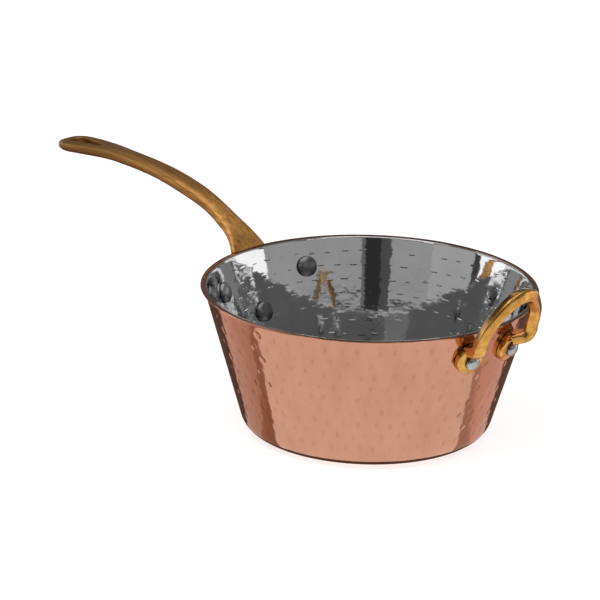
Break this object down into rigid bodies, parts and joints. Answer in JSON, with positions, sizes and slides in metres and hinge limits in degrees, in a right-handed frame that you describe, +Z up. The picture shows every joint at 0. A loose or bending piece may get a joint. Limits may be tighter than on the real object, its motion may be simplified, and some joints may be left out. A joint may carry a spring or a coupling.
{
  "type": "splayed saucepan",
  "caption": "Flared copper saucepan with a hammered wall, steel lining, long cast brass handle with a hanging eye and a brass helper loop, all riveted on.",
  "frame": {"origin": "centre of the flat underside of the base", "axes": "+Z up the pan's axis, +X towards the helper loop, so that the long handle points along -X"},
  "size_m": [0.3066, 0.16, 0.1019],
  "materials": {
    "copper": "polished copper, hammered in rows of small dents",
    "lining_steel": "bright polished stainless steel lining",
    "handle_brass": "cast brass, satin polish",
    "helper_brass": "cast brass, bright polish",
    "rivet_steel": "domed steel rivet, satin"
  },
  "bodies": {
    "root": {"copper_shell": "copper", "steel_lining": "lining_steel", "long_handle": "handle_brass", "helper_handle": "helper_brass", "handle_rivet_left": "rivet_steel", "handle_rivet_right": "rivet_steel", "handle_rivet_lower": "rivet_steel", "helper_rivet_left": "rivet_steel", "helper_rivet_right": "rivet_steel"}
  },
  "joints": []
}
